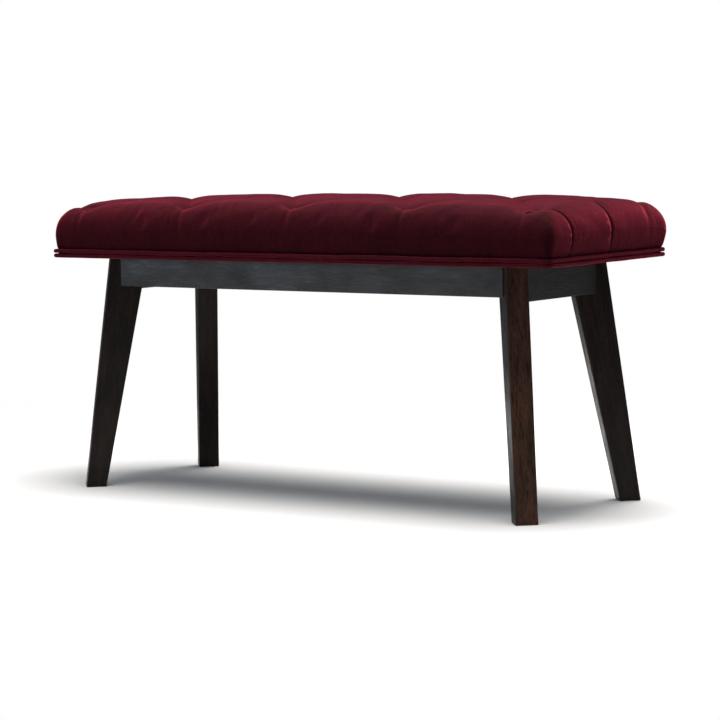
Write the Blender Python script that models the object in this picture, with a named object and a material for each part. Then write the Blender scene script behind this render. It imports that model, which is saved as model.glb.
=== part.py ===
"""Backless upholstered bench with a diamond-tufted velvet seat on four splayed board legs.

Metres, +Z up.  X runs along the bench, Y front (-) to back (+), the feet stand on z = 0.
"""
import math

import bmesh
import bpy
from mathutils import Matrix, Vector

GAP = 0.0003                # clearance left between touching pieces

# Wooden frame
APRON_X, APRON_Y = 0.371, 0.111     # outer corner of the apron frame
APRON_THICK = 0.020
APRON_TOP = 0.3465
LONG_APRON_BOTTOM = 0.304
END_APRON_BOTTOM = 0.297
LEG_THICK = 0.0315
LEG_OUT_TOP, LEG_OUT_FOOT = -0.0015, 0.0446     # along the diagonal, from the frame corner
LEG_IN_TOP, LEG_IN_FOOT = -0.0575, 0.0145
BLOCK_BOTTOM, BLOCK_TOP = 0.3165, 0.3425
BLOCK_CHORD = -0.090                # inner face of a corner block, along the diagonal

# Fixings
BOLT_RADIUS, BOLT_HEIGHT = 0.003, 0.331
SCREW_RADIUS, SCREW_HEAD = 0.002, 0.004
BLOCK_SCREW_INSET, BLOCK_SCREW_HEIGHT = 0.078, 0.3295
SEAT_SCREW_X, SEAT_SCREW_Y = 0.088, 0.031       # in from the frame corner
DOWEL_RADIUS, DOWEL_HALF = 0.003, 0.010
DOWEL_RADIAL, DOWEL_HEIGHT = -0.036, 0.316

# Seat
SEAT_X, SEAT_Y = 0.4455, 0.1455     # half sizes of the velvet sides
CORNER = 0.016                      # plan radius of the vertical corners
ROUND = 0.030                       # radius of the rolled top edge
SEAT_TOP = 0.4405
HEM = 0.3606                        # lower edge of the velvet
# Plain inside of the cover: (inset from the side, height), bottom to top
LINING = [(0.0020, HEM), (0.0020, 0.3920), (0.0045, 0.4040), (0.0090, 0.4110), (0.0160, 0.4155)]
FOAM_GAP = 0.0006
PIPE_RADIUS, PIPE_LOW, PIPE_HIGH = 0.0031, 0.3507, 0.3572
PIPE_X, PIPE_Y, PIPE_CORNER = 0.4469, 0.1469, 0.0130
BOARD_BOTTOM, BOARD_TOP = 0.3479, 0.3599
DUST_BOTTOM, DUST_TOP = 0.3468, 0.3476

# Tufting: five, four and five buttons in a diamond pattern
ROW = 0.120
BUTTONS = ([(0.2 * k, -ROW) for k in range(-2, 3)]
           + [(0.2 * k + 0.1, 0.0) for k in range(-2, 2)]
           + [(0.2 * k, ROW) for k in range(-2, 3)])
BUTTON_SEAT = 0.4185
BUTTON_RADIUS = 0.008
CREASE_DEPTH, CREASE_WIDTH = 0.010, 0.016
TOP_RIM = 0.012                     # inset where the top grid hands over to the side rings
# Rings down the side: (inset, height), with None where the rolled edge sets the height
SIDE_LEVELS = [(0.0058, None), (0.0018, None), (0.0, 0.400), (0.0, 0.380), (0.0010, HEM)]

CORNERS = {"front_left": (-1, -1), "front_right": (1, -1),
           "rear_left": (-1, 1), "rear_right": (1, 1)}


# ---------------------------------------------------------------- materials
def material(name, colour, roughness, metallic=0.0):
    mat = bpy.data.materials.get(name) or bpy.data.materials.new(name)
    mat.use_nodes = True
    shader = mat.node_tree.nodes["Principled BSDF"]
    shader.inputs["Base Color"].default_value = (*colour, 1.0)
    shader.inputs["Roughness"].default_value = roughness
    shader.inputs["Metallic"].default_value = metallic
    return mat


def stained_wood():
    return material("stained_wood", (0.022, 0.013, 0.009), 0.36)


def plain_wood():
    return material("plain_wood", (0.46, 0.31, 0.18), 0.62)


def plywood():
    return material("plywood", (0.58, 0.42, 0.26), 0.66)


def velvet():
    return material("velvet", (0.125, 0.012, 0.022), 0.85)


def piping_velvet():
    return material("piping_velvet", (0.105, 0.012, 0.021), 0.80)


def foam():
    return material("foam", (0.82, 0.77, 0.58), 0.90)


def dust_cloth():
    return material("dust_cloth", (0.018, 0.018, 0.019), 0.92)


def zinc_steel():
    return material("zinc_steel", (0.56, 0.57, 0.58), 0.34, 1.0)


# ------------------------------------------------------------------ helpers
def finish(name, bm, mat):
    """Turn a bmesh into a named object with one material and outward faces."""
    bmesh.ops.recalc_face_normals(bm, faces=bm.faces)
    mesh = bpy.data.meshes.new(name)
    bm.to_mesh(mesh)
    bm.free()
    mesh.materials.append(mat)
    obj = bpy.data.objects.new(name, mesh)
    bpy.context.scene.collection.objects.link(obj)
    return obj


def add_rings(bm, rings, closed_ends=True):
    """Skin a stack of equal rings of points, with flat caps on the first and last."""
    loops = [[bm.verts.new(p) for p in ring] for ring in rings]
    count = len(loops[0])
    for low, high in zip(loops, loops[1:]):
        for k in range(count):
            m = (k + 1) % count
            bm.faces.new((low[k], low[m], high[m], high[k]))
    if closed_ends:
        bm.faces.new(loops[0][::-1])
        bm.faces.new(loops[-1])
    return loops


def prism(bm, outline, bottom, top):
    add_rings(bm, [[(x, y, z) for x, y in outline] for z in (bottom, top)])


def turned(start, direction, profile, sides=12):
    """Rings round an axis; profile lists (distance along it, radius, is it hexagonal)."""
    axis = Vector(direction).normalized()
    side = axis.cross(Vector((0, 0, 1)) if abs(axis.z) < 0.9 else Vector((1, 0, 0))).normalized()
    other = axis.cross(side)
    rings = []
    for along, radius, hexagonal in profile:
        ring = []
        for k in range(sides):
            angle = 2 * math.pi * k / sides
            reach = radius
            if hexagonal:
                reach /= math.cos((angle + math.pi / 6) % (math.pi / 3) - math.pi / 6)
            ring.append(Vector(start) + axis * along
                        + (side * math.cos(angle) + other * math.sin(angle)) * reach)
        rings.append(ring)
    return rings


def drill(obj, holes):
    """Cut round holes, each (start, direction, [(along, radius), ...])."""
    bm = bmesh.new()
    for start, direction, steps in holes:
        add_rings(bm, turned(start, direction, [(a, r, False) for a, r in steps]))
    cutter = finish(obj.name + "_cutter", bm, obj.data.materials[0])
    cut = obj.modifiers.new("holes", "BOOLEAN")
    cut.operation, cut.solver, cut.object = "DIFFERENCE", "EXACT", cutter
    bpy.context.view_layer.update()
    ready = obj.evaluated_get(bpy.context.evaluated_depsgraph_get())
    result = bpy.data.meshes.new_from_object(ready)
    obj.modifiers.clear()
    obj.data = result
    bpy.data.objects.remove(cutter, do_unlink=True)


def soften(obj, width, segments=1):
    """Break the sharp edges of a wooden piece."""
    bm = bmesh.new()
    bm.from_mesh(obj.data)
    sharp = [e for e in bm.edges if e.calc_face_angle(0.0) > math.radians(30)]
    bmesh.ops.bevel(bm, geom=sharp, offset=width, segments=segments, affect="EDGES",
                    profile=0.5, clamp_overlap=True)
    bm.to_mesh(obj.data)
    bm.free()


def at_corner(corner, radial, across, height):
    """World point from the diagonal coordinates of one corner of the frame."""
    sx, sy = CORNERS[corner]
    along_x = APRON_X + (radial - across) / math.sqrt(2)
    along_y = APRON_Y + (radial + across) / math.sqrt(2)
    return Vector((sx * along_x, sy * along_y, height))


def diagonal(corner, radial, across):
    sx, sy = CORNERS[corner]
    return Vector((sx * (radial - across), sy * (radial + across), 0.0)) / math.sqrt(2)


# -------------------------------------------------------------- wooden frame
def leg(corner):
    """Tapered board standing on the diagonal through one corner of the aprons."""
    outline = [(LEG_IN_FOOT, 0.0), (LEG_OUT_FOOT, 0.0),
               (LEG_OUT_TOP, APRON_TOP), (LEG_IN_TOP, APRON_TOP)]
    rings = [[at_corner(corner, radial, across, z) for radial, z in outline]
             for across in (-LEG_THICK / 2, LEG_THICK / 2)]
    bm = bmesh.new()
    add_rings(bm, rings)
    obj = finish(corner + "_leg", bm, stained_wood())
    soften(obj, 0.0014, 2)
    holes = [bolt_hole(corner)]
    holes += [dowel_hole(corner, side) for side in (-1, 1)]
    drill(obj, holes)


def apron(name, length, reach, bottom, turn):
    """Rail whose mitred ends butt against the broad faces of two legs."""
    back_off = (LEG_THICK / 2 + GAP) * math.sqrt(2)
    outer = length - back_off
    inner = outer - APRON_THICK
    outline = [(-outer, -reach), (outer, -reach),
               (inner, -reach + APRON_THICK), (-inner, -reach + APRON_THICK)]
    bm = bmesh.new()
    prism(bm, outline, bottom, APRON_TOP)
    bmesh.ops.rotate(bm, verts=bm.verts, matrix=Matrix.Rotation(turn, 3, "Z"))
    obj = finish(name, bm, stained_wood())
    soften(obj, 0.0008)
    return obj


def long_apron(side, sy):
    obj = apron(side + "_apron", APRON_X, APRON_Y, LONG_APRON_BOTTOM,
                0.0 if sy < 0 else math.pi)
    holes = []
    for corner in (side + "_left", side + "_right"):
        holes += [dowel_hole(corner, 1), block_screw_hole(corner, True)]
    drill(obj, holes)


def end_apron(side, sx):
    obj = apron(side + "_end_apron", APRON_Y, APRON_X, END_APRON_BOTTOM, sx * math.pi / 2)
    holes = []
    for corner in ("front_" + side, "rear_" + side):
        holes += [dowel_hole(corner, -1), block_screw_hole(corner, False)]
    drill(obj, holes)


def corner_block(corner):
    """Block notched round the inner edge of a leg and tied to both aprons."""
    apron_line = -APRON_THICK * math.sqrt(2) - GAP * 1.5
    notch = LEG_THICK / 2 + GAP
    wide = apron_line - BLOCK_CHORD
    depth = LEG_IN_TOP - GAP
    outline = [(BLOCK_CHORD, -wide), (apron_line - notch, -notch), (depth, -notch),
               (depth, notch), (apron_line - notch, notch), (BLOCK_CHORD, wide)]
    rings = [[at_corner(corner, radial, across, z) for radial, across in outline]
             for z in (BLOCK_BOTTOM, BLOCK_TOP)]
    bm = bmesh.new()
    add_rings(bm, rings)
    obj = finish(corner + "_corner_block", bm, plain_wood())
    drill(obj, [bolt_hole(corner), block_screw_hole(corner, True),
                block_screw_hole(corner, False), seat_screw_hole(corner)])


# ------------------------------------------------------------------- fixings
def bolt_hole(corner):
    start = at_corner(corner, BLOCK_CHORD - 0.002, 0.0, BOLT_HEIGHT)
    return start, diagonal(corner, 1, 0), [(0.0, BOLT_RADIUS + GAP), (0.0605, BOLT_RADIUS + GAP)]


def leg_bolt(corner):
    start = at_corner(corner, BLOCK_CHORD - GAP, 0.0, BOLT_HEIGHT)
    profile = [(-0.0052, 0.0043, True), (-0.0048, 0.0048, True), (-0.0012, 0.0048, True),
               (-0.0011, 0.0068, False), (0.0, 0.0068, False), (0.0001, BOLT_RADIUS, False),
               (0.0560, BOLT_RADIUS, False), (0.0575, BOLT_RADIUS - 0.001, False)]
    bm = bmesh.new()
    add_rings(bm, turned(start, diagonal(corner, 1, 0), profile))
    finish(corner + "_leg_bolt", bm, zinc_steel())


def block_screw_axis(corner, on_long):
    """Seat of the head and direction of a screw from a corner block into an apron."""
    sx, sy = CORNERS[corner]
    inset, deep = BLOCK_SCREW_INSET, 0.036
    if on_long:
        return Vector((sx * (APRON_X - inset), sy * (APRON_Y - deep), BLOCK_SCREW_HEIGHT)), (0, sy, 0)
    return Vector((sx * (APRON_X - deep), sy * (APRON_Y - inset), BLOCK_SCREW_HEIGHT)), (sx, 0, 0)


def block_screw_hole(corner, on_long):
    start, direction = block_screw_axis(corner, on_long)
    radius = SCREW_RADIUS + GAP
    return start, direction, [(-0.020, 0.0048), (0.0, 0.0048), (0.0001, radius), (0.0290, radius)]


def screw(name, start, direction, length):
    profile = [(-0.0026, 0.0022, False), (-0.0020, SCREW_HEAD - 0.0006, False),
               (-0.0006, SCREW_HEAD, False), (0.0, SCREW_HEAD - 0.0001, False),
               (0.0001, SCREW_RADIUS, False), (length - 0.004, SCREW_RADIUS, False),
               (length, 0.0004, False)]
    bm = bmesh.new()
    add_rings(bm, turned(start, direction, profile))
    finish(name, bm, zinc_steel())


def block_screws(corner):
    for on_long, label in ((True, "long"), (False, "end")):
        start, direction = block_screw_axis(corner, on_long)
        screw(corner + "_" + label + "_apron_screw", start - Vector(direction) * GAP,
              direction, 0.0285)


def seat_screw_start(corner):
    sx, sy = CORNERS[corner]
    return Vector((sx * (APRON_X - SEAT_SCREW_X), sy * (APRON_Y - SEAT_SCREW_Y), BLOCK_BOTTOM))


def seat_screw_hole(corner):
    radius = SCREW_RADIUS + GAP
    return seat_screw_start(corner), (0, 0, 1), [(-0.001, radius), (0.0412, radius)]


def seat_screw(corner):
    screw(corner + "_seat_screw", seat_screw_start(corner) - Vector((0, 0, GAP)),
          (0, 0, 1), 0.0408)


def dowel_start(corner, side):
    face = side * (LEG_THICK / 2 + GAP / 2)
    return at_corner(corner, DOWEL_RADIAL, face, DOWEL_HEIGHT), diagonal(corner, 0, side)


def dowel_hole(corner, side):
    start, direction = dowel_start(corner, side)
    reach, radius = DOWEL_HALF + 0.0006, DOWEL_RADIUS + GAP
    return start, direction, [(-reach, radius), (reach, radius)]


def dowel(corner, side):
    start, direction = dowel_start(corner, side)
    label = "long" if side > 0 else "end"
    tip = DOWEL_RADIUS - 0.0006
    profile = [(-DOWEL_HALF, tip, False), (-DOWEL_HALF + 0.001, DOWEL_RADIUS, False),
               (DOWEL_HALF - 0.001, DOWEL_RADIUS, False), (DOWEL_HALF, tip, False)]
    bm = bmesh.new()
    add_rings(bm, turned(start, direction, profile))
    finish(corner + "_" + label + "_dowel", bm, plain_wood())


# ---------------------------------------------------------------------- seat
def rounded_outline(half_x, half_y, radius, steps=4):
    points = []
    for turn, (sx, sy) in enumerate(((1, 1), (-1, 1), (-1, -1), (1, -1))):
        for k in range(steps + 1):
            angle = math.pi / 2 * (turn + k / steps)
            points.append((sx * (half_x - radius) + radius * math.cos(angle),
                           sy * (half_y - radius) + radius * math.sin(angle)))
    return points


def seat_board():
    bm = bmesh.new()
    prism(bm, rounded_outline(0.4433, 0.1433, 0.0095), BOARD_BOTTOM, BOARD_TOP)
    obj = finish("seat_board", bm, plywood())
    drill(obj, [seat_screw_hole(corner) for corner in CORNERS])


def dust_cover():
    bm = bmesh.new()
    prism(bm, rounded_outline(0.4400, 0.1400, 0.008, 3), DUST_BOTTOM, DUST_TOP)
    obj = finish("dust_cover", bm, dust_cloth())
    drill(obj, [seat_screw_hole(corner) for corner in CORNERS])


def piping(name, height):
    """Round cord running once about the lower edge of the seat."""
    path = rounded_outline(PIPE_X, PIPE_Y, PIPE_CORNER)
    count, sides = len(path), 10
    bm = bmesh.new()
    rings = []
    for k, (x, y) in enumerate(path):
        before, after = Vector(path[k - 1]), Vector(path[(k + 1) % count])
        here = Vector((x, y))
        tangent = (here - before).normalized() + (after - here).normalized()
        out = Vector((tangent.y, -tangent.x)).normalized()
        ring = []
        for m in range(sides):
            angle = 2 * math.pi * m / sides
            reach = PIPE_RADIUS * math.cos(angle)
            ring.append(bm.verts.new((x + out.x * reach, y + out.y * reach,
                                      height + PIPE_RADIUS * math.sin(angle))))
        rings.append(ring)
    for k in range(count):
        here, there = rings[k], rings[(k + 1) % count]
        for m in range(sides):
            n = (m + 1) % sides
            bm.faces.new((here[m], there[m], there[n], here[n]))
    finish(name, bm, piping_velvet())


def creases():
    """Folds between neighbouring buttons, and from the outer buttons over the edges."""
    folds = []
    for x, y in BUTTONS:
        if y == 0.0:
            folds += [((x, y), (x + dx, sy * ROW)) for dx in (-0.1, 0.1) for sy in (-1, 1)]
            if abs(x) > 0.25:
                folds.append(((x, y), (math.copysign(SEAT_X, x), 0.0)))
        else:
            folds.append(((x, y), (x, math.copysign(SEAT_Y, y))))
            if abs(x) > 0.35:
                folds.append(((x, y), (math.copysign(SEAT_X, x), y * 0.78)))
    return folds


def fold_depth(x, y, folds):
    """How far the nearest folds pull the velvet down."""
    deepest = 0.0
    for (ax, ay), (bx, by) in folds:
        dx, dy = bx - ax, by - ay
        along = ((x - ax) * dx + (y - ay) * dy) / (dx * dx + dy * dy)
        along = min(1.0, max(0.0, along))
        away = math.hypot(x - ax - dx * along, y - ay - dy * along)
        deepest = max(deepest, CREASE_DEPTH * math.exp(-away / CREASE_WIDTH))
    return deepest


def button_pull(x, y):
    """1 on the seat of a button, falling to 0 around it."""
    pull = 0.0
    for bx, by in BUTTONS:
        away = ((x - bx) ** 4 + (y - by) ** 4) ** 0.25 - 0.0125
        pull = max(pull, 1.0 if away <= 0 else math.exp(-(away / 0.017) ** 1.4))
    return pull


def seat_height(x, y, folds):
    """Top of the seat over (x, y)."""
    dx = max(abs(x) - (SEAT_X - ROUND), 0.0)
    dy = max(abs(y) - (SEAT_Y - ROUND), 0.0)
    out = min((dx ** 4 + dy ** 4) ** 0.25, ROUND)
    drop = ROUND - math.sqrt(ROUND * ROUND - out * out)
    crown = SEAT_TOP - 0.006 * abs(x / SEAT_X) ** 4 - 0.002 * (y / SEAT_Y) ** 2
    fade = 1.0 - (drop / ROUND) ** 2
    plain = crown - drop - fold_depth(x, y, folds) * fade
    return plain + (BUTTON_SEAT - plain) * button_pull(x, y) * fade


def grid_lines(half, centres, spread):
    """Lines of the top grid, close together where the buttons sit."""
    start = half - CORNER
    lines = {start, start + (CORNER - TOP_RIM) / 2, half - TOP_RIM}
    for centre in centres:
        for step in spread:
            lines |= {v for v in (round(centre + step, 5), round(centre - step, 5))
                      if 0 <= v < start - 0.004}
    positive = sorted(lines)
    return [-v for v in positive[:0:-1]] + positive


def in_plan(px, py, radius):
    """Grid point moved onto the rounded corners; radius is the corner size in use."""
    cx = max(-(SEAT_X - CORNER), min(SEAT_X - CORNER, px))
    cy = max(-(SEAT_Y - CORNER), min(SEAT_Y - CORNER, py))
    reach = CORNER - TOP_RIM
    p, q = (px - cx) / reach, (py - cy) / reach
    return (cx + radius * p * math.sqrt(1 - q * q / 2),
            cy + radius * q * math.sqrt(1 - p * p / 2))


def tufted_skin(bm):
    """Tufted top and rounded sides as an open skin; returns its lowest loop."""
    folds = creases()
    xs = grid_lines(SEAT_X, [0.1 * k for k in range(5)], (0.0, 0.0105, 0.035))
    ys = grid_lines(SEAT_Y, (0.0, ROW), (0.0, 0.0105, 0.035, 0.060))
    top = {}
    for i, px in enumerate(xs):
        for j, py in enumerate(ys):
            x, y = in_plan(px, py, CORNER - TOP_RIM)
            top[i, j] = bm.verts.new((x, y, seat_height(x, y, folds)))
    last_i, last_j = len(xs) - 1, len(ys) - 1
    for i in range(last_i):
        for j in range(last_j):
            bm.faces.new((top[i, j], top[i + 1, j], top[i + 1, j + 1], top[i, j + 1]))
    rim = ([(i, 0) for i in range(last_i)] + [(last_i, j) for j in range(last_j)]
           + [(i, last_j) for i in range(last_i, 0, -1)] + [(0, j) for j in range(last_j, 0, -1)])
    loop = [top[key] for key in rim]
    for inset, height in SIDE_LEVELS:
        ring = []
        for i, j in rim:
            x, y = in_plan(xs[i], ys[j], CORNER - inset)
            z = seat_height(x, y, folds) if height is None else height
            ring.append(bm.verts.new((x, y, z)))
        for k in range(len(ring)):
            m = (k + 1) % len(ring)
            bm.faces.new((loop[m], loop[k], ring[k], ring[m]))
        loop = ring
    return loop


def lining(bm, extra, levels):
    """Plain rounded slab without a bottom; returns its lowest loop."""
    rings = [[(x, y, z) for x, y in rounded_outline(SEAT_X - inset - extra, SEAT_Y - inset - extra,
                                                    CORNER - 0.002 - extra)]
             for inset, z in levels]
    loops = add_rings(bm, rings, closed_ends=False)
    bm.faces.new(loops[-1])
    return loops[0]


def velvet_cover():
    """Velvet quilted to its wadding over the top and sides, open underneath."""
    bm = bmesh.new()
    outside = tufted_skin(bm)
    inside = lining(bm, 0.0, LINING)
    hem = [bm.edges.get((loop[k - 1], loop[k])) for loop in (outside, inside)
           for k in range(len(loop))]
    bmesh.ops.triangle_fill(bm, edges=hem, use_beauty=True)
    finish("velvet_cover", bm, velvet())


def foam_pad():
    levels = [(LINING[0][0], BOARD_TOP + GAP)] + [(inset, z - FOAM_GAP) for inset, z in LINING[1:]]
    bm = bmesh.new()
    bm.faces.new(lining(bm, FOAM_GAP, levels))
    finish("foam_pad", bm, foam())


def tuft_button(number, x, y):
    """Velvet-covered button pulled down into the tufting."""
    profile = [(0.0, 0.92, False), (0.0012, 1.0, False), (0.0030, 0.96, False),
               (0.0046, 0.72, False), (0.0055, 0.30, False)]
    profile = [(a, r * BUTTON_RADIUS, h) for a, r, h in profile]
    bm = bmesh.new()
    add_rings(bm, turned((x, y, BUTTON_SEAT + GAP), (0, 0, 1), profile))
    finish("tuft_button_%02d" % number, bm, piping_velvet())


def build():
    for obj in list(bpy.data.objects):
        bpy.data.objects.remove(obj, do_unlink=True)
    for corner in CORNERS:
        leg(corner)
        corner_block(corner)
        leg_bolt(corner)
        block_screws(corner)
        seat_screw(corner)
        dowel(corner, 1)
        dowel(corner, -1)
    long_apron("front", -1)
    long_apron("rear", 1)
    end_apron("left", -1)
    end_apron("right", 1)
    dust_cover()
    seat_board()
    foam_pad()
    velvet_cover()
    piping("lower_piping", PIPE_LOW)
    piping("upper_piping", PIPE_HIGH)
    for number, (x, y) in enumerate(BUTTONS, 1):
        tuft_button(number, x, y)


build()
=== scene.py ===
"""Looks of the tufted velvet bench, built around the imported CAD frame.  Metres, +Z up."""

import math
from collections import namedtuple

import bmesh
import bpy
import numpy as np
from mathutils import Matrix, Vector, noise


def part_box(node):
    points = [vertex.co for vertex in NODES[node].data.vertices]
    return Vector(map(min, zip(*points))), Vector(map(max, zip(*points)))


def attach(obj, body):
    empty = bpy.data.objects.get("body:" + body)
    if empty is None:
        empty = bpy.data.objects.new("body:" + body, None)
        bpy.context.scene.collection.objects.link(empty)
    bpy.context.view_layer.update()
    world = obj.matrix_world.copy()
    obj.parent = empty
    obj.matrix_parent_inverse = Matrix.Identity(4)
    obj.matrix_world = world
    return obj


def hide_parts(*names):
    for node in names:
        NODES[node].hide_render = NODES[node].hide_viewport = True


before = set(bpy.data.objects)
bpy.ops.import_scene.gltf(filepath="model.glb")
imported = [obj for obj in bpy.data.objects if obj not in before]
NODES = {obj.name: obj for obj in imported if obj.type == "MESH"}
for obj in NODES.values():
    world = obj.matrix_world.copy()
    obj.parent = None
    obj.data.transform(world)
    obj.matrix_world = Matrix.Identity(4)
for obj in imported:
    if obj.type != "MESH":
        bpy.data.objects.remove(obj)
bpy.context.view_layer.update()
BODY = "root"


def centre_of(node):
    low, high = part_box(node)
    return (low + high) / 2


# ------------------------------------------------------------------ form of the seat
COVER_LOW, COVER_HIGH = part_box("velvet_cover")
BULGE = 0.0045              # how far the velvet stands out past the plain cover
HALF_X = COVER_HIGH.x + BULGE
HALF_Y = COVER_HIGH.y + BULGE
HEM = COVER_LOW.z           # the velvet is sewn to the upper cord here
SKIRT = 0.3481              # and runs down behind both cords to here
WAIST = 0.392               # height where the sides stand out most
HEM_TUCK = 0.0030           # how far they come back in from there to the hem
CORNER = 0.011              # plan radius of the vertical corners
TOP_RIM = 0.007             # inset where the top grid hands over to the side rings
ROLL = 0.032                # width of the rolled top edge
ROLL_DROP = 0.043           # and its height
CROWN = 0.4378              # top of the middle pillows
END_FALL = 0.0055           # how much lower the pillows are at the ends
SIDE_FALL = 0.0042          # and over the outer rows of buttons
LEFT_DROP = 0.0027          # how much lower the worn left end sits
FULLER = 0.0040             # how much further the right end swells
GRID_STEP = 0.0055          # of the mesh before it is subdivided
UNEVEN, RIPPLE = 0.0007, 0.0003     # slow and fine unevenness of hand-pulled velvet

# ------------------------------------------------------------------ tufting
BUTTON_NODES = sorted(name for name in NODES if name.startswith("tuft_button_"))
BUTTONS = [(centre_of(name).x, centre_of(name).y) for name in BUTTON_NODES]
BUTTON_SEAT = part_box(BUTTON_NODES[0])[0].z - 0.0003
BUTTON_FLAT = 0.0095        # radius of the flat place that a button sits on
BUTTON_REACH = 0.0105       # how quickly the velvet rises round it
ROW = max(y for _, y in BUTTONS)
HALF_PITCH = 0.1            # from a middle button to its neighbours in the outer rows, along X
LAST_BUTTON = 0.25          # a row's last button on either side lies further out than this
PAST_END = HALF_X + 0.02
PAST_SIDE = HALF_Y + 0.01
SAG_BETWEEN, SAG_OUT = 0.55, 0.30       # how much shallower a fold is halfway along
GROOVE, LIP_PLACE, LIP_WIDTH = 0.0027, 0.0052, 0.0022       # section of a pleat

# ------------------------------------------------------------------ cords
CORD_CORNER = 0.006         # plan radius of the cords at the corners
CORD_OUT = 0.0006           # how far they stand out past the plain cords
CORD_DRAWN = 0.0014         # and how much more at the left end

# ------------------------------------------------------------------ colours of the wood
STAIN = ((0.0042, 0.0024, 0.0018), (0.0085, 0.0046, 0.0032), (0.0220, 0.0115, 0.0074))
# Lighter tones of the rounded arrises: partly real wear, partly a painted highlight along the edges.
WORN_AND_HIGHLIT = ((0.010, 0.0055, 0.0038), (0.032, 0.018, 0.012), (0.085, 0.050, 0.034))
# Partly painted light: added to the faces of a leg that look outward, for the light they catch as well as
# a thinner stain there.
WARM_STAIN_AND_LIGHT = (0.0560, 0.0240, 0.0140)
BEECH = ((0.50, 0.34, 0.20), (0.36, 0.22, 0.12))
LEAN = math.tan(math.radians(9.7)) / math.sqrt(2)       # of a leg's middle line, along x and y


# ------------------------------------------------------------------ node helpers
MIX_COLOURS, MIX_RESULT = (6, 7), 2     # the colour sockets of a Mix node


class Shader:
    """A material's node tree, with short calls for the nodes used here."""

    def __init__(self, name, roughness, **sockets):
        self.material = bpy.data.materials.new(name)
        self.material.use_nodes = True
        self.tree = self.material.node_tree
        self.bsdf = self.tree.nodes["Principled BSDF"]
        self.bsdf.inputs["Roughness"].default_value = roughness
        for socket, value in sockets.items():
            self.bsdf.inputs[socket.replace("_", " ")].default_value = value
        self.coords = self.tree.nodes.new("ShaderNodeTexCoord").outputs["Object"]

    def node(self, kind, inputs=None, **settings):
        made = self.tree.nodes.new(kind)
        for name, value in settings.items():
            setattr(made, name, value)
        for name, value in (inputs or {}).items():
            self.plug(made.inputs[name], value)
        return made

    def plug(self, socket, value):
        if isinstance(value, bpy.types.NodeSocket):
            self.tree.links.new(value, socket)
        else:
            socket.default_value = value

    def mapped(self, size, turn=(0, 0, 0)):
        """Object coordinates turned on to the board's own axes, in units of size."""
        made = self.node("ShaderNodeMapping", {"Vector": self.coords}, vector_type="TEXTURE")
        made.inputs["Rotation"].default_value = turn
        made.inputs["Scale"].default_value = size
        return made.outputs["Vector"]

    def noise(self, vector, scale, detail=3.0, rough=0.55, distortion=0.0):
        made = self.node("ShaderNodeTexNoise", {"Vector": vector, "Scale": scale, "Detail": detail,
                                                "Roughness": rough, "Distortion": distortion})
        return made.outputs["Fac"]

    def ramp(self, value, *stops):
        made = self.node("ShaderNodeValToRGB", {"Fac": value})
        ramp = made.color_ramp
        while len(ramp.elements) < len(stops):
            ramp.elements.new(0.5)
        for element, (place, colour) in zip(ramp.elements, stops):
            element.position = place
            element.color = (*colour, 1.0)
        return made.outputs["Color"]

    def grey(self, value, low, high, at=(0.0, 1.0)):
        """Number that goes from low to high as the value goes through at."""
        made = self.node("ShaderNodeMapRange", {"Value": value, "From Min": at[0], "From Max": at[1],
                                                "To Min": low, "To Max": high})
        return made.outputs["Result"]

    def mix(self, factor, first, second, blend="MIX"):
        """Colour between two; each is a socket or a plain colour."""
        made = self.node("ShaderNodeMix", data_type="RGBA", blend_type=blend)
        self.plug(made.inputs["Factor"], factor)
        for index, colour in zip(MIX_COLOURS, (first, second)):
            is_socket = isinstance(colour, bpy.types.NodeSocket)
            self.plug(made.inputs[index], colour if is_socket else (*colour, 1.0))
        return made.outputs[MIX_RESULT]

    def marked(self, tone, mask, most, at, colour):
        """The tone, moved towards a colour by up to most as the mask goes through at."""
        return self.mix(self.grey(mask, 0.0, most, at), tone, colour)

    def math(self, operation, first, second=0.0):
        made = self.node("ShaderNodeMath", operation=operation)
        self.plug(made.inputs[0], first)
        self.plug(made.inputs[1], second)
        return made.outputs["Value"]

    def bump(self, height, strength, distance, normal=None):
        made = self.node("ShaderNodeBump", {"Height": height, "Strength": strength, "Distance": distance})
        if normal:
            self.plug(made.inputs["Normal"], normal)
        return made.outputs["Normal"]

    def done(self, colour, normal=None, roughness=None):
        self.plug(self.bsdf.inputs["Base Color"], colour)
        if normal:
            self.plug(self.bsdf.inputs["Normal"], normal)
        if roughness:
            self.plug(self.bsdf.inputs["Roughness"], roughness)
        return self.material


def scaled(colour, by):
    return tuple(by * part for part in colour)


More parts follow.
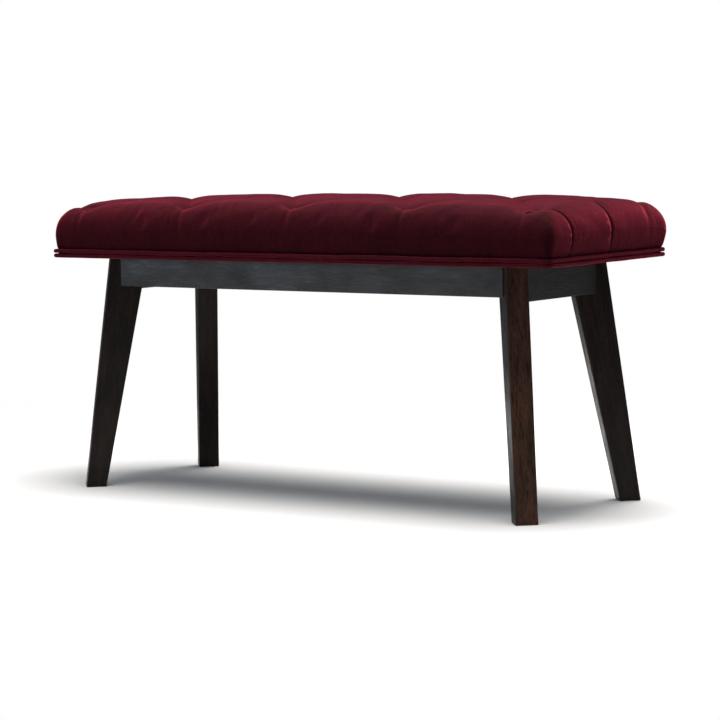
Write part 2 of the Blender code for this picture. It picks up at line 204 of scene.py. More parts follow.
# ------------------------------------------------------------------ materials
def velvet(name, deep, light):
    """Cut pile: dark seen straight on, rosy where it is seen along the surface."""
    cloth = Shader(name, 0.8, Sheen_Weight=1.0, Sheen_Roughness=0.36, Sheen_Tint=(1.0, 0.10, 0.18, 1.0),
                   Specular_IOR_Level=0.03)
    brushed = cloth.noise(cloth.mapped((0.022, 0.022, 0.070)), 1.0, 4, 0.66, 0.5)
    patches = cloth.noise(cloth.coords, 9, 3)
    crushed = cloth.noise(cloth.coords, 210, 3, 0.65, 0.3)
    pile = cloth.noise(cloth.coords, 1100, 2, 0.7)
    warp = cloth.node("ShaderNodeTexWave", {"Vector": cloth.coords, "Scale": 260.0, "Distortion": 1.2,
                                            "Detail": 2.0, "Detail Scale": 3.0},
                      bands_direction="DIAGONAL").outputs["Fac"]
    tone = cloth.marked(deep, brushed, 1.0, (0.32, 0.68), light)
    tone = cloth.marked(tone, patches, 0.5, (0.35, 0.7), scaled(light, 1.5))
    tone = cloth.marked(tone, crushed, 0.75, (0.45, 0.75), scaled(deep, 0.35))
    tone = cloth.marked(tone, pile, 0.55, (0.35, 0.8), scaled(light, 2.0))
    tone = cloth.marked(tone, warp, 0.08, (0.0, 1.0), scaled(deep, 0.4))
    soft = cloth.bump(brushed, 0.35, 0.0020)
    crease = cloth.bump(crushed, 0.45, 0.0009, soft)
    return cloth.done(tone, cloth.bump(pile, 0.5, 0.0005, crease))


def along(axis):
    """Turn that puts a board's own X along this direction."""
    return Vector(axis).to_track_quat("X", "Z").to_euler()


def stained_wood(name, axis, tones, shine, outward=None):
    """Open-pored wood with a dark stain under thin satin lacquer, its grain along the axis.

    Faces that look outward are lightened and warmed: partly a thinner stain, partly painted light for the
    light they catch.
    """
    dark, brown, pale = tones
    turn = along(axis)
    wood = Shader(name, 0.42, Coat_Weight=0.10, Coat_Roughness=0.30, Specular_IOR_Level=shine)
    figure = wood.noise(wood.mapped((0.110, 0.011, 0.011), turn), 1.0, 4, 0.6, 0.9)
    blotch = wood.noise(wood.mapped((0.060, 0.030, 0.030), turn), 1.0, 3)
    fibres = wood.noise(wood.mapped((0.024, 0.0024, 0.0024), turn), 1.0, 4, 0.7)
    pores = wood.noise(wood.mapped((0.0090, 0.0015, 0.0015), turn), 1.0, 2, 0.6)
    tone = wood.ramp(figure, (0.30, dark), (0.50, brown), (0.72, pale))
    # Partly painted light: outward faces are lightened and warmed as if lit, besides their thinner stain.
    if outward:
        normal = wood.node("ShaderNodeNewGeometry").outputs["Normal"]
        dot = wood.node("ShaderNodeVectorMath", {0: normal, 1: outward}, operation="DOT_PRODUCT")
        amount = wood.math("MULTIPLY", wood.grey(dot.outputs["Value"], 0.0, 1.0, (0.75, 0.95)),
                           wood.grey(fibres, 0.25, 1.75, (0.36, 0.66)))
        tone = wood.mix(amount, tone, WARM_STAIN_AND_LIGHT, "ADD")
    tone = wood.marked(tone, blotch, 0.55, (0.42, 0.70), scaled(dark, 0.5))
    tone = wood.marked(tone, fibres, 0.40, (0.50, 0.72), scaled(pale, 1.5))
    tone = wood.marked(tone, pores, 0.50, (0.50, 0.66), scaled(dark, 0.3))
    rough = wood.math("ADD", wood.grey(fibres, 0.30, 0.52, (0.35, 0.65)),
                      wood.grey(blotch, -0.06, 0.18, (0.35, 0.7)))
    grain = wood.bump(fibres, 0.22, 0.0005)
    return wood.done(tone, wood.bump(pores, 0.60, 0.0006, grain), rough)


def bare_wood(name, axis):
    """Unfinished beech, its grain along the axis."""
    light, dark = BEECH
    turn = along(axis)
    wood = Shader(name, 0.62)
    figure = wood.noise(wood.mapped((0.090, 0.010, 0.010), turn), 1.0, 4, 0.6, 1.0)
    fibres = wood.noise(wood.mapped((0.012, 0.0010, 0.0010), turn), 1.0, 3, 0.6)
    tone = wood.marked(light, figure, 1.0, (0.3, 0.7), dark)
    tone = wood.marked(tone, fibres, 0.45, (0.45, 0.75), scaled(dark, 0.6))
    return wood.done(tone, wood.bump(fibres, 0.25, 0.0003))


def plywood(bottom, top):
    """Birch plywood: pale faces, and seven veneers that alternate through the edge."""
    veneer = (top - bottom) / 7
    wood = Shader("plywood", 0.6)
    figure = wood.noise(wood.mapped((0.120, 0.014, 0.5)), 1.0, 4, 0.6, 1.2)
    tone = wood.marked((0.60, 0.45, 0.28), figure, 1.0, (0.3, 0.7), (0.46, 0.31, 0.17))
    height = wood.node("ShaderNodeSeparateXYZ", {0: wood.coords}).outputs["Z"]
    layer = wood.math("PINGPONG", wood.math("SUBTRACT", height, bottom), veneer)
    dark = wood.math("GREATER_THAN", layer, veneer / 2)
    normal = wood.node("ShaderNodeNewGeometry").outputs["Normal"]
    facing = wood.node("ShaderNodeSeparateXYZ", {0: normal}).outputs["Z"]
    edge = wood.math("LESS_THAN", wood.math("ABSOLUTE", facing), 0.5)
    amount = wood.math("MULTIPLY", wood.math("MULTIPLY", dark, edge), 0.7)
    return wood.done(wood.mix(amount, tone, (0.24, 0.15, 0.08)), wood.bump(figure, 0.15, 0.0003))


def steel():
    metal = Shader("zinc_steel", 0.36, Metallic=1.0)
    spangle = metal.noise(metal.coords, 300, 3)
    tone = metal.mix(spangle, (0.42, 0.43, 0.45), (0.66, 0.66, 0.64))
    return metal.done(tone, metal.bump(spangle, 0.1, 0.0002), metal.grey(spangle, 0.26, 0.5))


def foam():
    pad = Shader("foam", 0.9)
    cells = pad.node("ShaderNodeTexVoronoi", {"Vector": pad.coords, "Scale": 900.0}).outputs["Distance"]
    return pad.done(pad.mix(cells, (0.74, 0.66, 0.42), (0.86, 0.80, 0.58)), pad.bump(cells, 0.6, 0.0006))


def dust_cloth():
    """Black spun-bonded cloth with its fine pattern of weld points."""
    cloth = Shader("dust_cloth", 0.88)
    welds = cloth.node("ShaderNodeTexVoronoi", {"Vector": cloth.coords, "Scale": 420.0,
                                                "Randomness": 0.25}).outputs["Distance"]
    fibres = cloth.noise(cloth.coords, 700, 3, 0.7)
    tone = cloth.marked((0.010, 0.010, 0.011), fibres, 1.0, (0.3, 0.7), (0.034, 0.034, 0.036))
    return cloth.done(tone, cloth.bump(welds, 0.35, 0.0003))


# ------------------------------------------------------------------ mesh helpers
def piece(name, verts, faces, material, node_names):
    """New mesh object that rides on the bench and stands for the named CAD nodes."""
    mesh = bpy.data.meshes.new(name)
    mesh.from_pydata([tuple(v) for v in verts], [], faces)
    mesh.materials.append(material)
    mesh.shade_smooth()
    obj = bpy.data.objects.new(name, mesh)
    bpy.context.scene.collection.objects.link(obj)
    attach(obj, BODY)
    if node_names:
        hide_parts(*node_names)
    return obj


def grid_faces(nx, ny, first=0):
    """Quads between the points of an nx by ny grid."""
    corners = [first + i * ny + j for i in range(nx - 1) for j in range(ny - 1)]
    return [(a, a + ny, a + ny + 1, a + 1) for a in corners]


def grid_rim(nx, ny):
    """Places (i, j) once round the edge of an nx by ny grid."""
    return ([(i, 0) for i in range(nx - 1)] + [(nx - 1, j) for j in range(ny - 1)]
            + [(i, ny - 1) for i in range(nx - 1, 0, -1)] + [(0, j) for j in range(ny - 1, 0, -1)])


def band(first, second, count):
    """Quads between two closed rings of count points; first and second are their first points."""
    return [(first + k, second + k, second + (k + 1) % count, first + (k + 1) % count)
            for k in range(count)]


# ------------------------------------------------------------------ seat
Fold = namedtuple("Fold", "begin end deep end_deep width pleat")


def folds():
    """Fold lines between the buttons, and from the outer buttons over the edges."""
    lines = []
    for x, y in BUTTONS:
        here = (x, y)
        last = abs(x) > LAST_BUTTON
        past_end = math.copysign(PAST_END, x)
        if abs(y) < ROW / 2:
            lines += [Fold(here, (x + dx, sy * ROW), 0.0095, 0.0095, 0.013, 0.0012)
                      for dx in (-HALF_PITCH, HALF_PITCH) for sy in (-1, 1)]
            if last:
                lines.append(Fold(here, (past_end, 0.0), 0.0095, 0.0020, 0.010, 0.0023))
        else:
            lines.append(Fold(here, (x, math.copysign(PAST_SIDE, y)), 0.0034, 0.0030, 0.010, 0.0))
            if last:
                deep, pleat = (0.0070, 0.0023) if y < 0 else (0.0012, 0.0)
                lines.append(Fold(here, (past_end, y * 0.76), deep, 0.0020, 0.010, pleat))
    return lines


def along_and_away(x, y, line):
    """Share of the way along a fold line, and distance from it, for points x, y."""
    (ax, ay), (bx, by) = line.begin, line.end
    dx, dy = bx - ax, by - ay
    share = np.clip(((x - ax) * dx + (y - ay) * dy) / (dx * dx + dy * dy), 0, 1)
    return share, np.hypot(x - ax - dx * share, y - ay - dy * share)


def fold_depth(x, y, lines):
    """Depth of the deepest fold at points x, y, full on its line and fading over its width."""
    best = np.zeros_like(x)
    for line in lines:
        share, away = along_and_away(x, y, line)
        most = SAG_BETWEEN if line.deep == line.end_deep else SAG_OUT
        sag = 1 - most * np.sin(np.pi * share)
        deep = line.deep + (line.end_deep - line.deep) * share
        best = np.maximum(best, deep * sag * np.exp(-away / line.width))
    return best


def button_pull(x, y):
    """1 on a button's seat, fading to 0 on the pillows round it, sooner towards the long edges."""
    best = np.zeros_like(x)
    for bx, by in BUTTONS:
        beyond = (abs(by) > ROW / 2) & (np.abs(y) > ROW)
        away = np.hypot(x - bx, (y - by) * np.where(beyond, 1.8, 1.0))
        best = np.maximum(best, np.exp(-(np.maximum(away - BUTTON_FLAT, 0) / BUTTON_REACH) ** 1.25))
    return best


def worn(x):
    """How much lower the seat sits here; the left end is worn."""
    return LEFT_DROP * np.clip((-x - 0.05) / 0.38, 0, 1) ** 0.8


def swell(points):
    """The right end is stuffed fuller: its rolled edge and sides stand further out."""
    x, y, z = points.T
    height = np.clip((z - HEM) / (CROWN - HEM), 0, 1)
    full = FULLER * np.clip((x - (HALF_X - 0.08)) / 0.08, 0, 1) ** 2 * np.sin(np.pi * height) ** 0.7
    points[:, 0] += full * np.clip((x - (HALF_X - ROLL)) / ROLL, 0, 1)
    points[:, 1] += full * np.sign(y) * np.clip((np.abs(y) - (HALF_Y - ROLL)) / ROLL, 0, 1)
    return points


def seat_height(x, y, lines):
    """Height of the tufted top and its rolled edge."""
    dx = np.maximum(np.abs(x) - (HALF_X - ROLL), 0)
    dy = np.maximum(np.abs(y) - (HALF_Y - ROLL), 0)
    power = 3.0 + 3.5 * np.minimum(np.maximum(dx, dy) / ROLL, 1)     # squarer lower down the roll
    out = np.minimum((dx ** power + dy ** power) ** (1 / power), ROLL) / ROLL
    drop = ROLL_DROP * (1 - np.sqrt(np.maximum(1 - out ** 2, 0)))
    crown = CROWN - END_FALL * np.abs(x / HALF_X) ** 3 - SIDE_FALL * (y / ROW) ** 2 - worn(x)
    fade = 1 - out ** 2
    plain = crown - drop - fold_depth(x, y, lines) * fade
    return plain + (BUTTON_SEAT - worn(x) - plain) * button_pull(x, y) * fade


def in_plan(px, py, radius):
    """Points of the top's rectangle moved onto vertical corners of this radius."""
    cx = np.clip(px, -(HALF_X - CORNER), HALF_X - CORNER)
    cy = np.clip(py, -(HALF_Y - CORNER), HALF_Y - CORNER)
    p, q = (px - cx) / (CORNER - TOP_RIM), (py - cy) / (CORNER - TOP_RIM)
    return cx + radius * p * np.sqrt(1 - q * q / 2), cy + radius * q * np.sqrt(1 - p * p / 2)


def even_lines(half, step):
    """Even grid lines with two extra ones in each corner zone."""
    inner = half - CORNER
    count = round(2 * inner / step)
    lines = list(np.linspace(-inner, inner, count + 1))
    rim = half - TOP_RIM
    return [-rim, -(inner + rim) / 2] + lines + [(inner + rim) / 2, rim]


def side_tuck(z):
    """How far inside the widest outline the sides are at this height."""
    under_waist = np.clip((WAIST - z) / (WAIST - HEM), 0, 1)
    return np.where(z > HEM, HEM_TUCK * under_waist ** 2, BULGE)


def seat_mesh(step):
    """Tufted top, rolled edge and sides, open underneath; returns points and faces."""
    lines = folds()
    xs, ys = even_lines(HALF_X, step), even_lines(HALF_Y, step)
    x, y = in_plan(*np.meshgrid(xs, ys, indexing="ij"), CORNER - TOP_RIM)
    points = [np.stack([x, y, seat_height(x, y, lines)], -1).reshape(-1, 3)]
    nx, ny = len(xs), len(ys)
    faces = grid_faces(nx, ny)
    rim = grid_rim(nx, ny)
    rx, ry = np.array([xs[i] for i, _ in rim]), np.array([ys[j] for _, j in rim])

    rings = []
    for inset in (0.0050, 0.0034, 0.0020, 0.0010, 0.0003):
        x, y = in_plan(rx, ry, CORNER - inset)
        edge = seat_height(x, y, lines)
        rings.append(np.stack([x, y, edge], -1))
    for share in np.linspace(0.03, 1, 12):
        z = edge + (SKIRT - edge) * share
        x, y = in_plan(rx, ry, CORNER - side_tuck(z))
        rings.append(np.stack([x, y, z], -1))

    upper = [i * ny + j for i, j in rim]
    for number, ring in enumerate(rings):
        start = nx * ny + number * len(rim)
        lower = list(range(start, start + len(rim)))
        for k in range(len(rim)):
            m = (k + 1) % len(rim)
            faces.append((upper[m], upper[k], lower[k], lower[m]))
        points.append(ring)
        upper = lower
    return swell(np.concatenate(points)), faces


def holding(points, lines):
    """1 where buttons and seams hold the velvet, down to 0.05 where it is free to swell."""
    x, y, z = points.T
    top = WAIST + 0.006
    hold = np.maximum(button_pull(x, y), np.minimum(fold_depth(x, y, lines) / 0.010, 0.55))
    hold[z < top] = np.clip((top - z[z < top]) / (top - HEM), 0.2, 1)
    return np.clip(hold, 0.05, 1)


def soften(obj, rest, hold, cap=0.0030, frames=20):
    """Cloth blown up gently from inside; no point moves further than cap, less where it is held."""
    group = obj.vertex_groups.new(name="held")
    steps = np.round(hold, 2)
    for value in np.unique(steps):
        group.add(np.nonzero(steps == value)[0].tolist(), float(value), "REPLACE")
    cloth = obj.modifiers.new("cloth", "CLOTH")
    settings = cloth.settings
    settings.quality = 4
    settings.mass = 0.3
    settings.tension_stiffness = settings.compression_stiffness = 12
    settings.shear_stiffness = 8
    settings.bending_stiffness = 8.0
    settings.vertex_group_mass = "held"
    settings.use_pressure = True
    settings.uniform_pressure_force = 3.5
    settings.shrink_min = -0.002
    settings.effector_weights.gravity = 0.0
    cloth.collision_settings.use_self_collision = False
    cloth.collision_settings.use_collision = False
    cloth.point_cache.frame_start, cloth.point_cache.frame_end = 1, frames
    for frame_number in range(1, frames + 1):
        bpy.context.scene.frame_set(frame_number)
    evaluated = obj.evaluated_get(bpy.context.evaluated_depsgraph_get())
    swollen = np.array([v.co for v in evaluated.data.vertices])
    obj.modifiers.remove(cloth)
    obj.vertex_groups.clear()
    bpy.context.scene.frame_set(1)
    moved = swollen - rest
    size = np.linalg.norm(moved, axis=1, keepdims=True)
    return rest + moved * np.minimum(1, cap / np.maximum(size, 1e-9)) * (1 - hold[:, None])


def reshaped(obj, kind, **settings):
    """Mesh of the object under one modifier, leaving the object as it was."""
    step = obj.modifiers.new("step", kind)
    for name, value in settings.items():
        setattr(step, name, value)
    evaluated = obj.evaluated_get(bpy.context.evaluated_depsgraph_get())
    mesh = bpy.data.meshes.new_from_object(evaluated)
    obj.modifiers.remove(step)
    return mesh


def read(items, what):
    """One vector of each item, as the rows of an array."""
    flat = np.empty(len(items) * 3, np.float32)
    items.foreach_get(what, flat)
    return flat.reshape(-1, 3).astype(float)


def pleat_depth(points, lines):
    """How deep the pleats and seams cut in at each point; a pleat's two lips stand out a little."""
    x, y, z = points.T
    height = np.clip((z - HEM) / 0.05, 0, 1)
    depth = np.zeros_like(x)
    for line in lines:
        _, away = along_and_away(x, y, line)
        if line.pleat == 0:
            depth = np.maximum(depth, 0.0009 * np.exp(-(away / 0.005) ** 2) * height ** 2)
            continue
        groove = np.clip(1 - away / GROOVE, 0, 1) ** 1.2
        lip = 0.05 * np.exp(-((away - LIP_PLACE) / LIP_WIDTH) ** 2)
        cut = (groove - lip) * line.pleat * np.clip((z - HEM) / 0.030, 0.25, 1)
        depth = np.where(np.abs(cut) > np.abs(depth), cut, depth)
    return depth


def sewn(mesh, rest, lines):
    """Cuts the pleats and the small unevenness of hand-pulled velvet into the finished form."""
    points, normals = read(mesh.vertices, "co"), read(mesh.vertex_normals, "vector")
    x, y, z = rest.T
    for line in lines:
        if line.pleat == 0:
            continue
        (ax, ay), (bx, by) = line.begin, line.end
        share, away = along_and_away(x, y, line)
        on_line = (away < 0.0009) & (z > HEM + 0.002)
        points[on_line, 0] += (ax + (bx - ax) * share - x)[on_line]
        points[on_line, 1] += (ay + (by - ay) * share - y)[on_line]
    elsewhere = Vector((3, 1, 7))
    uneven = np.array([UNEVEN * noise.noise(p * 26) + RIPPLE * noise.noise(p * 70 + elsewhere)
                       for p in map(Vector, rest)])
    height = np.clip((z - HEM) / 0.05, 0, 1)
    points -= normals * (pleat_depth(rest, lines) - uneven * (0.3 + 0.7 * height))[:, None]
    mesh.vertices.foreach_set("co", points.ravel())
    mesh.update()


def open_rim(bm):
    """Edges of the mesh's opening, marked sharp."""
    rim = [edge for edge in bm.edges if edge.is_boundary]
    for edge in rim:
        edge.smooth = False
    return rim


def close_underneath(mesh):
    """Turns the skirt in behind the cords, up beside the board's edge, and flat across its top."""
    bm = bmesh.new()
    bm.from_mesh(mesh)
    for inward, height in ((0.0014, SKIRT), (0.0, HEM - 0.0004)):
        bm.normal_update()
        rim = open_rim(bm)
        moves = {}
        for vert in (vert for edge in rim for vert in edge.verts):
            moves[vert] = Vector((vert.normal.x, vert.normal.y, 0)).normalized() * inward
        made = bmesh.ops.extrude_edge_only(bm, edges=rim)["geom"]
        for vert in made:
            if isinstance(vert, bmesh.types.BMVert):
                joined = [edge.other_vert(vert) for edge in vert.link_edges]
                source = min((other for other in joined if other in moves),
                             key=lambda other: (other.co - vert.co).length)
                vert.co = source.co - moves[source]
                vert.co.z = height
    bmesh.ops.edgeloop_fill(bm, edges=open_rim(bm))
    bmesh.ops.recalc_face_normals(bm, faces=bm.faces)
    bm.to_mesh(mesh)
    bm.free()


def make_seat():
    """The tufted velvet: swollen as cloth on a coarse mesh, then subdivided, pleated and closed."""
    points, faces = seat_mesh(GRID_STEP)
    wine = velvet("velvet", (0.0082, 0.0009, 0.0015), (0.0190, 0.0020, 0.0038))
    obj = piece("velvet_seat", points, faces, wine, ["velvet_cover"])
    lines = folds()
    rest = read(reshaped(obj, "SUBSURF", levels=2).vertices, "co")
    points = soften(obj, points, holding(points, lines))
    obj.data.vertices.foreach_set("co", points.ravel())
    obj.data.update()
    obj.data = reshaped(obj, "SUBSURF", levels=2)
    sewn(obj.data, rest, lines)
    obj.data = reshaped(obj, "DECIMATE", ratio=0.34)        # flat stretches need fewer faces than pleats
    close_underneath(obj.data)


# ------------------------------------------------------------------ cords, buttons and hem
def rounded_path(half_x, half_y, corner, step):
    """Even points round a rounded rectangle, with the outward direction at each."""
    points = []
    for sx, sy, start in ((1, 1, 0), (-1, 1, 90), (-1, -1, 180), (1, -1, 270)):
        middle = Vector((sx * (half_x - corner), sy * (half_y - corner), 0))
        for k in range(9):
            angle = math.radians(start + 90 * k / 8)
            out = Vector((math.cos(angle), math.sin(angle), 0))
            points.append((middle + out * corner, out))
    path = []
    for (first, out_a), (second, out_b) in zip(points, points[1:] + points[:1]):
        count = max(1, round((second - first).length / step))
        path += [(first.lerp(second, k / count), out_a.lerp(out_b, k / count).normalized())
                 for k in range(count)]
    return path


def piping(name, node, seed, material):
    """Velvet-covered cord sewn round the hem: slightly wavy, with small puckers."""
    low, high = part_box(node)
    radius, middle = (high.z - low.z) / 2, (high.z + low.z) / 2
    path = rounded_path(high.x - radius + CORD_OUT, high.y - radius + CORD_OUT, CORD_CORNER, 0.0026)
    sides = 14
    verts = []
    for centre, out in path:
        sway = Vector((centre.x * 9 + seed, centre.y * 9, seed))
        rise = 0.0011 * noise.noise(sway) + 0.0005 * noise.noise(sway * 4)
        left_end = min(max((-centre.x - 0.40) / 0.045, 0), 1)
        push = 0.0007 * noise.noise(sway + Vector((5, 5, 0))) + CORD_DRAWN * left_end
        for k in range(sides):
            angle = math.tau * k / sides
            ring = out * math.cos(angle) + Vector((0, 0, math.sin(angle)))
            pucker = noise.noise((centre + ring * radius) * 330 + Vector((seed, 0, 0)))
            slow = noise.noise((centre + ring * radius * 0.5) * 60)
            verts.append(centre + out * push + Vector((0, 0, middle + rise))
                         + ring * radius * (0.98 + 0.05 * pucker + 0.06 * slow))
    faces = []
    for i in range(len(path)):
        faces += band(i * sides, (i + 1) % len(path) * sides, sides)
    piece(name, verts, faces, material, [node])


def button(node, material):
    """Covered button: a low dome whose velvet is gathered under its rim."""
    low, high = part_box(node)
    middle = (low + high) / 2
    sunk = Vector((0, 0, float(worn(np.array([middle.x]))[0]) + 0.0008))
    low, high, middle = low - sunk, high - sunk, middle - sunk
    radius, height = (high.x - low.x) / 2, high.z - low.z
    outline = [(0.30, 0.98), (0.55, 0.91), (0.76, 0.78), (0.90, 0.60), (0.98, 0.40), (0.99, 0.24),
               (0.90, 0.10), (0.72, 0.02)]
    sides, gathers = 40, 13
    verts = [middle + Vector((0, 0, high.z - middle.z))]
    for across, up in outline:
        for k in range(sides):
            angle = math.tau * k / sides
            gather = 1 + 0.022 * math.cos(angle * gathers + middle.x * 40) * max(0, across - 0.5) * 2
            verts.append(Vector((middle.x + math.cos(angle) * radius * across * gather,
                                 middle.y + math.sin(angle) * radius * across * gather,
                                 low.z + height * up)))
    verts.append(Vector((middle.x, middle.y, low.z)))
    faces = [(0, 1 + k, 1 + (k + 1) % sides) for k in range(sides)]
    for ring in range(len(outline) - 1):
        faces += band(1 + ring * sides, 1 + (ring + 1) * sides, sides)
    last = 1 + (len(outline) - 1) * sides
    faces += [(len(verts) - 1, last + (k + 1) % sides, last + k) for k in range(sides)]
    piece(node.replace("tuft_", "covered_"), verts, faces, material, [node])


def velvet_return(material):
    """The edge of the velvet, turned under the board and stapled flat."""
    above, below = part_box("seat_board")[0].z - 0.0001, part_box("dust_cover")[1].z
    width, waver = 0.030, 0.003
    outer = rounded_path(HALF_X - 0.0030, HALF_Y - 0.0030, 0.008, 0.006)
    verts = []
    for turned, height in ((False, above), (True, above), (True, below), (False, below)):
        for place, out in outer:
            inward = width + waver * noise.noise(place * 30) if turned else 0
            verts.append(Vector((place.x, place.y, height)) - out * inward)
    count = len(outer)
    faces = []
    for ring in range(4):
        faces += band(ring * count, (ring + 1) % 4 * count, count)
    piece("velvet_return", verts, faces, material, [])


def make_trim():
    cord = velvet("piping_velvet", (0.0185, 0.0017, 0.0032), (0.0400, 0.0038, 0.0074))
    piping("upper_cord", "upper_piping", 1.0, cord)
    piping("lower_cord", "lower_piping", 7.0, cord)
    for node in BUTTON_NODES:
        button(node, cord)
    velvet_return(cord)


# ------------------------------------------------------------------ carried-over nodes
def dress(node, *materials):
    NODES[node].data.materials.clear()
    for material in materials:
        NODES[node].data.materials.append(material)


def ease_edges(node, width):
    """Softly rounded arrises in the node's second material; the CAD mesh itself is not touched."""
    weld = NODES[node].modifiers.new("weld", "WELD")
    weld.merge_threshold = 0.00002
    eased = NODES[node].modifiers.new("eased", "BEVEL")
    eased.width, eased.segments = width, 3
    eased.limit_method, eased.angle_limit = "ANGLE", math.radians(35)
    # The second material is the lighter edge wood: partly wear, partly a painted highlight.
    eased.material = 1


def dress_leg(name):
    middle = centre_of(name)
    axis = (math.copysign(LEAN, middle.x), math.copysign(LEAN, middle.y), -1)
    outward = Vector((axis[0], axis[1], 0)).normalized()
    dress(name, stained_wood(name + "_wood", axis, STAIN, 0.12, outward),
          stained_wood(name + "_edge", axis, WORN_AND_HIGHLIT, 0.3))
    ease_edges(name, 0.0028)


def dress_apron(name):
    axis = (1, 0, 0) if name in ("front_apron", "rear_apron") else (0, 1, 0)
    dress(name, stained_wood(name + "_wood", axis, STAIN, 0.45),
          stained_wood(name + "_edge", axis, WORN_AND_HIGHLIT, 0.4))
    ease_edges(name, 0.0010)


def dress_frame():
    metal = steel()
    for name in NODES:
        if name.endswith("_leg"):
            dress_leg(name)
        elif name.endswith("_apron"):
            dress_apron(name)
        elif name.endswith(("_corner_block", "_dowel")):
            rising = name.startswith(("front_right", "rear_left"))
            dress(name, bare_wood(name + "_wood", (1, 1 if rising else -1, 0)))
        elif name.endswith(("_screw", "_bolt")):
            dress(name, metal)
    low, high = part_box("seat_board")
    dress("seat_board", plywood(low.z, high.z))
    dress("foam_pad", foam())


# ------------------------------------------------------------------ underside
def make_dust_sheet():
    """Black dust cloth stretched under the board; it sags a little inside the aprons."""
    low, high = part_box("dust_cover")
    xs, ys = np.linspace(low.x, high.x, 111), np.linspace(low.y, high.y, 36)
    nx, ny = len(xs), len(ys)
    verts = []
    for thick in (0.0, 0.0006):
        for x in xs:
            for y in ys:
                inside = max(0, 1 - (x / 0.355) ** 2) * max(0, 1 - (y / 0.095) ** 2)
                sag = inside * (0.0022 + 0.0012 * noise.noise(Vector((x * 14, y * 14, 2))))
                verts.append((x, y, high.z - 0.0001 - thick - sag))
    faces = grid_faces(nx, ny) + [quad[::-1] for quad in grid_faces(nx, ny, nx * ny)]
    rim = [i * ny + j for i, j in grid_rim(nx, ny)]
    faces += [(a, nx * ny + a, nx * ny + b, b) for a, b in zip(rim, rim[1:] + rim[:1])]
    cloth = piece("dust_sheet", verts, faces, dust_cloth(), ["dust_cover"])


def make_staples():
    """The staples that hold the dust cloth's border."""
    low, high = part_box("dust_cover")
    edge_x, edge_y = high.x - 0.0125, high.y - 0.0125
    z = low.z + 0.0003
    verts, faces = [], []
    for x in np.linspace(-edge_x + 0.02, edge_x - 0.02, 21):
        for y in (-edge_y, edge_y):
            staple(verts, faces, Vector((x, y, z)), Vector((1, 0, 0)))
    for y in np.linspace(-edge_y + 0.025, edge_y - 0.025, 7):
        for x in (-edge_x, edge_x):
            staple(verts, faces, Vector((x, y, z)), Vector((0, 1, 0)))
    piece("staples", verts, faces, steel(), [])


def staple(verts, faces, place, across):
    """Adds a flat crown, lying across, with its two legs turned up into the board."""
    wire, half, leg = 0.0006, 0.0050, 0.0012
    side = Vector((-across.y, across.x, 0))
    outline = [(-half, leg), (-half, -wire * 0.7), (-half * 0.94, -wire), (half * 0.94, -wire),
               (half, -wire * 0.7), (half, leg), (half - wire, leg), (half - wire, 0.0),
               (-half + wire, 0.0), (-half + wire, leg)]
    start, count = len(verts), len(outline)
    for shift in (-wire / 2, wire / 2):
        verts += [place + across * u + side * shift + Vector((0, 0, v)) for u, v in outline]
    faces.append(tuple(start + k for k in range(count)))
    faces.append(tuple(start + count + k for k in reversed(range(count))))
    faces += [(start + (k + 1) % count, start + k, start + count + k, start + count + (k + 1) % count)
              for k in range(count)]


# ------------------------------------------------------------------ studio
def backdrop():
    """White where the camera sees it, but lights the bench only dimly and a little blue."""
    world = bpy.data.worlds.new("studio")
    world.use_nodes = True
    tree = world.node_tree
    seen = tree.nodes.new("ShaderNodeBackground")
    seen.inputs["Color"].default_value = (1.0, 1.0, 1.0, 1.0)
    seen.inputs["Strength"].default_value = 1.0
    dim = tree.nodes["Background"]
    dim.inputs["Color"].default_value = (0.80, 0.90, 1.0, 1.0)
    dim.inputs["Strength"].default_value = 0.16
    mix = tree.nodes.new("ShaderNodeMixShader")
    tree.links.new(tree.nodes.new("ShaderNodeLightPath").outputs["Is Camera Ray"], mix.inputs[0])
    tree.links.new(dim.outputs[0], mix.inputs[1])
    tree.links.new(seen.outputs[0], mix.inputs[2])
    tree.links.new(mix.outputs[0], tree.nodes["World Output"].inputs["Surface"])
    bpy.context.scene.world = world
    bpy.context.scene.view_settings.view_transform = "Standard"


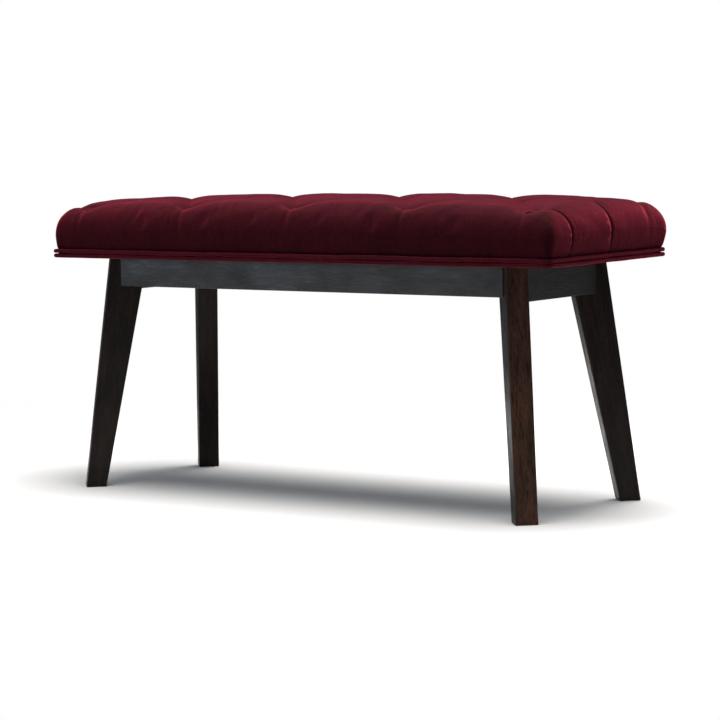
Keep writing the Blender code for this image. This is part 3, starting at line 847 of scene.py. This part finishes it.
def pale_floor():
    """Floor that fades into the backdrop, and is clear from below so that the underside can be seen."""
    pale = Shader("studio_floor", 0.8, Specular_IOR_Level=0.0)
    pale.bsdf.inputs["Base Color"].default_value = (0.84, 0.84, 0.84, 1.0)
    reach = pale.node("ShaderNodeVectorMath", {0: pale.coords}, operation="LENGTH").outputs["Value"]
    fade = pale.node("ShaderNodeMapRange", {"Value": reach, "From Min": 0.7, "From Max": 1.6},
                     interpolation_type="SMOOTHSTEP").outputs["Result"]
    clear = pale.math("MAXIMUM", fade, pale.node("ShaderNodeNewGeometry").outputs["Backfacing"])
    blend = pale.node("ShaderNodeMixShader", {0: clear, 1: pale.bsdf.outputs[0]})
    pale.tree.links.new(pale.node("ShaderNodeBsdfTransparent").outputs[0], blend.inputs[2])
    pale.tree.links.new(blend.outputs[0], pale.tree.nodes["Material Output"].inputs["Surface"])
    mesh = bpy.data.meshes.new("studio_floor")
    bm = bmesh.new()
    bmesh.ops.create_circle(bm, cap_ends=True, segments=96, radius=2.2)
    bm.to_mesh(mesh)
    bm.free()
    mesh.materials.append(pale.material)
    floor = bpy.data.objects.new("studio_floor", mesh)
    bpy.context.scene.collection.objects.link(floor)


def softbox(name, place, target, size, power, colour):
    light = bpy.data.lights.new(name, "AREA")
    light.shape = "RECTANGLE"
    light.size, light.size_y = size
    light.energy = power
    light.color = colour
    obj = bpy.data.objects.new(name, light)
    obj.location = place
    obj.rotation_euler = (Vector(target) - Vector(place)).to_track_quat("-Z", "Y").to_euler()
    obj.visible_camera = False
    bpy.context.scene.collection.objects.link(obj)


def studio():
    backdrop()
    pale_floor()
    softbox("overhead", (0.15, 0.1, 2.3), (0, 0, 0.2), (1.9, 1.7), 112, (1.0, 0.97, 0.94))
    softbox("left_front", (-1.9, -2.3, 0.55), (-0.1, 0, 0.3), (1.6, 1.0), 12, (0.70, 0.86, 1.0))


def camera():
    """Low three-quarter view from the front right, tilted a little."""
    azimuth, elevation, roll = (math.radians(a) for a in (37.31, 5.326, -1.235))
    target = Vector((0.0160, 0.0014, 0.1964))
    distance = 4.0994
    back = Vector((math.sin(azimuth) * math.cos(elevation), -math.cos(azimuth) * math.cos(elevation),
                   math.sin(elevation)))
    right = Vector((math.cos(azimuth), math.sin(azimuth), 0))
    up = back.cross(right)
    turned_right = right * math.cos(roll) + up * math.sin(roll)
    turned_up = up * math.cos(roll) - right * math.sin(roll)
    data = bpy.data.cameras.new("camera")
    data.lens, data.sensor_width, data.sensor_fit = 140.01, 36.0, "HORIZONTAL"
    obj = bpy.data.objects.new("camera", data)
    rotation = Matrix((turned_right, turned_up, back)).transposed().to_4x4()
    obj.matrix_world = Matrix.Translation(target + back * distance) @ rotation
    bpy.context.scene.collection.objects.link(obj)
    bpy.context.scene.camera = obj


camera()
studio()
dress_frame()
make_seat()
make_trim()
make_dust_sheet()
make_staples()
